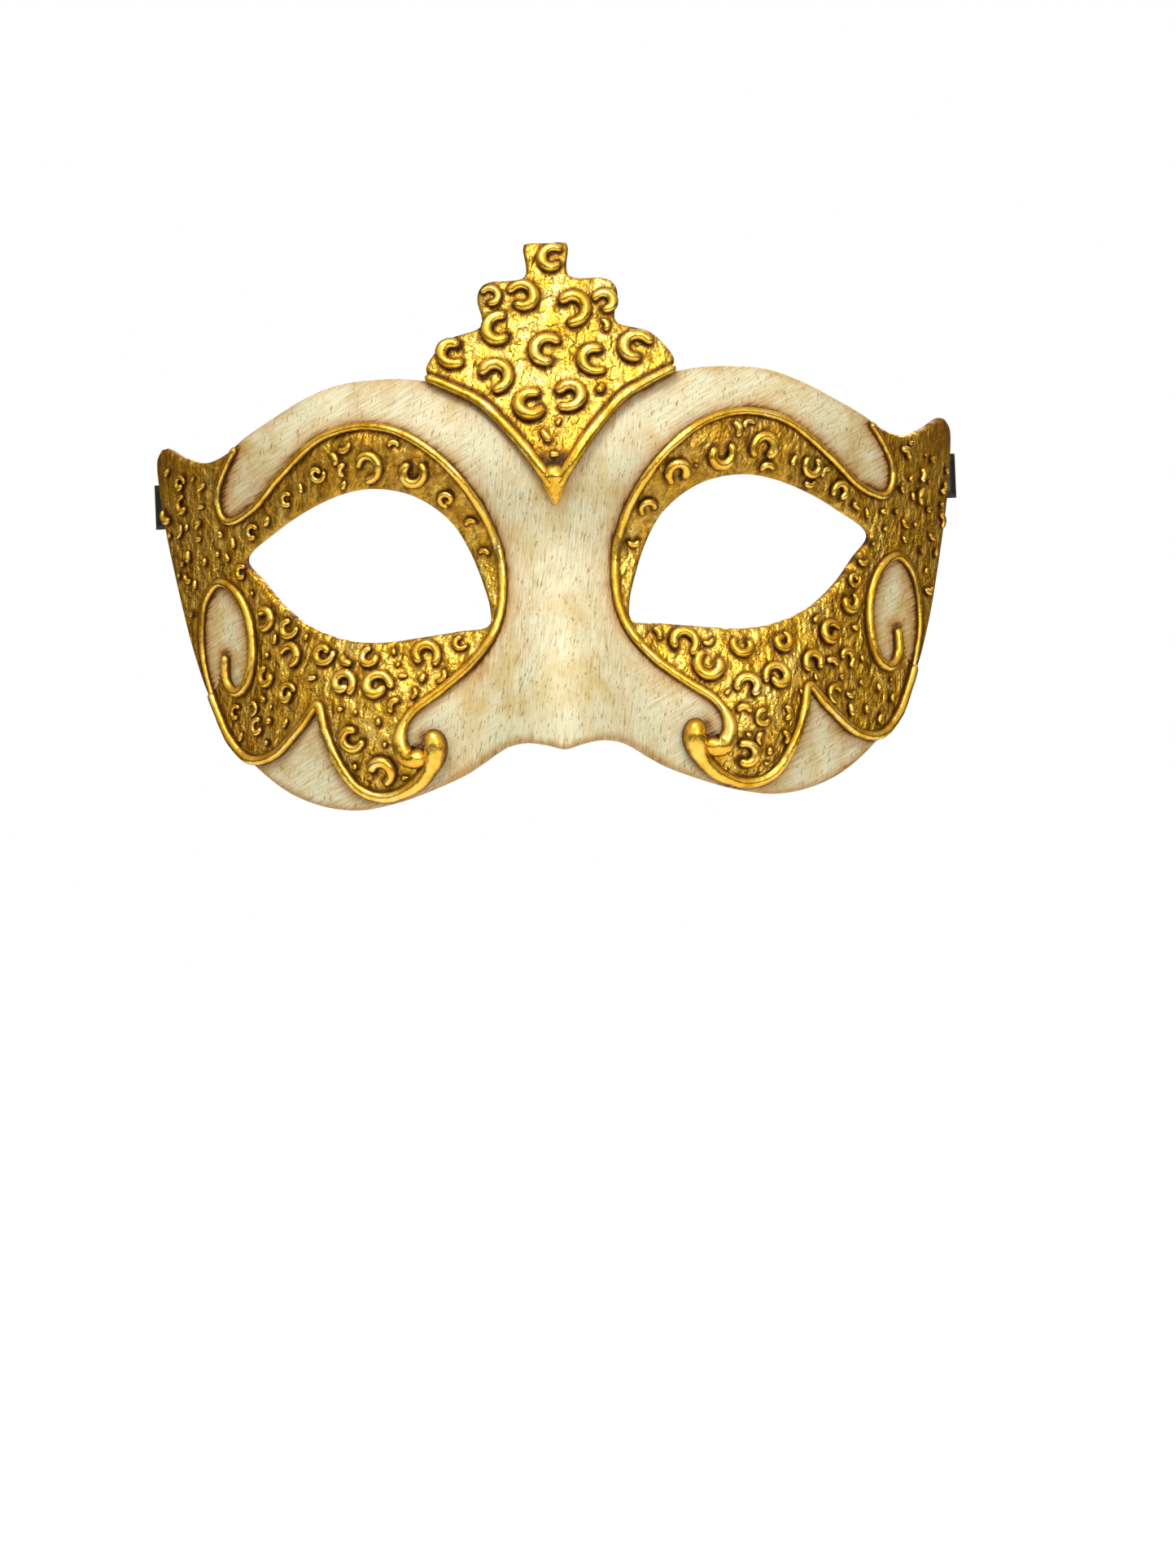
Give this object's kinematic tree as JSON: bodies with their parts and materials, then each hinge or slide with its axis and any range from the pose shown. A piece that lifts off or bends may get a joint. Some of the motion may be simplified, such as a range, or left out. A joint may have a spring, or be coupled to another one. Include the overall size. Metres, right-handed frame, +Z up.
{
  "type": "venetian masquerade mask",
  "caption": "Gilt and ivory half mask for the eyes and nose, with a stepped crest, raised scrolls and two ribbons that tie behind the head.",
  "frame": {"origin": "back of the nose bridge, where the mask sits on the wearer, in the mask's mid-plane", "axes": "+Z up, front of the mask towards -Y, +X to the wearer's left"},
  "size_m": [0.1804, 0.0807, 0.1258],
  "materials": {
    "ivory_gesso": "papier-mache with brushed, antiqued ivory paint",
    "gold_leaf": "piped paste and paper under antiqued gold leaf",
    "black_satin": "woven satin ribbon",
    "backing_paper": "torn paper, glued and painted"
  },
  "bodies": {
    "mask": {"brow_curl_left_1": "gold_leaf", "brow_curl_left_2": "gold_leaf", "brow_curl_left_3": "gold_leaf", "brow_curl_right_1": "gold_leaf", "brow_curl_right_2": "gold_leaf", "brow_curl_right_3": "gold_leaf", "cheek_curl_left_1": "gold_leaf", "cheek_curl_left_2": "gold_leaf", "cheek_curl_left_3": "gold_leaf", "cheek_curl_left_4": "gold_leaf", "cheek_curl_left_5": "gold_leaf", "cheek_curl_left_6": "gold_leaf", "cheek_curl_left_7": "gold_leaf", "cheek_curl_right_1": "gold_leaf", "cheek_curl_right_2": "gold_leaf", "cheek_curl_right_3": "gold_leaf", "cheek_curl_right_4": "gold_leaf", "cheek_curl_right_5": "gold_leaf", "cheek_curl_right_6": "gold_leaf", "cheek_curl_right_7": "gold_leaf", "crest_bead_left": "gold_leaf", "crest_bead_right": "gold_leaf", "crest_curl_01": "gold_leaf", "crest_curl_02": "gold_leaf", "crest_curl_03": "gold_leaf", "crest_curl_04": "gold_leaf", "crest_curl_05": "gold_leaf", "crest_curl_06": "gold_leaf", "crest_curl_07": "gold_leaf", "crest_curl_08": "gold_leaf", "crest_curl_09": "gold_leaf", "crest_curl_10": "gold_leaf", "crest_curl_11": "gold_leaf", "crest_curl_12": "gold_leaf", "crest_curl_13": "gold_leaf", "crest_curl_14": "gold_leaf", "crest_drop": "gold_leaf", "crest_plaque": "gold_leaf", "eye_bead_left": "gold_leaf", "eye_bead_right": "gold_leaf", "lobe_bead_left": "gold_leaf", "lobe_bead_right": "gold_leaf", "mask_shell": "ivory_gesso", "ribbon_patch_left": "backing_paper", "ribbon_patch_right": "backing_paper", "ribbon_tab_left": "black_satin", "ribbon_tab_right": "black_satin", "scroll_bulb_left": "gold_leaf", "scroll_bulb_right": "gold_leaf", "temple_bead_left": "gold_leaf", "temple_bead_right": "gold_leaf", "temple_curl_left_1": "gold_leaf", "temple_curl_left_2": "gold_leaf", "temple_curl_right_1": "gold_leaf", "temple_curl_right_2": "gold_leaf"},
    "tie_left": {"ribbon_lead_left": "black_satin", "ribbon_roll_left": "black_satin"},
    "tie_right": {"ribbon_lead_right": "black_satin", "ribbon_roll_right": "black_satin"}
  },
  "joints": [
    {"name": "ribbon_left_swing", "type": "hinge", "parent": "mask", "child": "tie_left", "pos_m": [0.08714, 0.05642, 0.0165], "axis": [0, 0, -1], "range_deg": [0, 90]},
    {"name": "ribbon_right_swing", "type": "hinge", "parent": "mask", "child": "tie_right", "pos_m": [-0.08714, 0.05642, 0.0165], "axis": [0, 0, 1], "range_deg": [0, 90]}
  ]
}
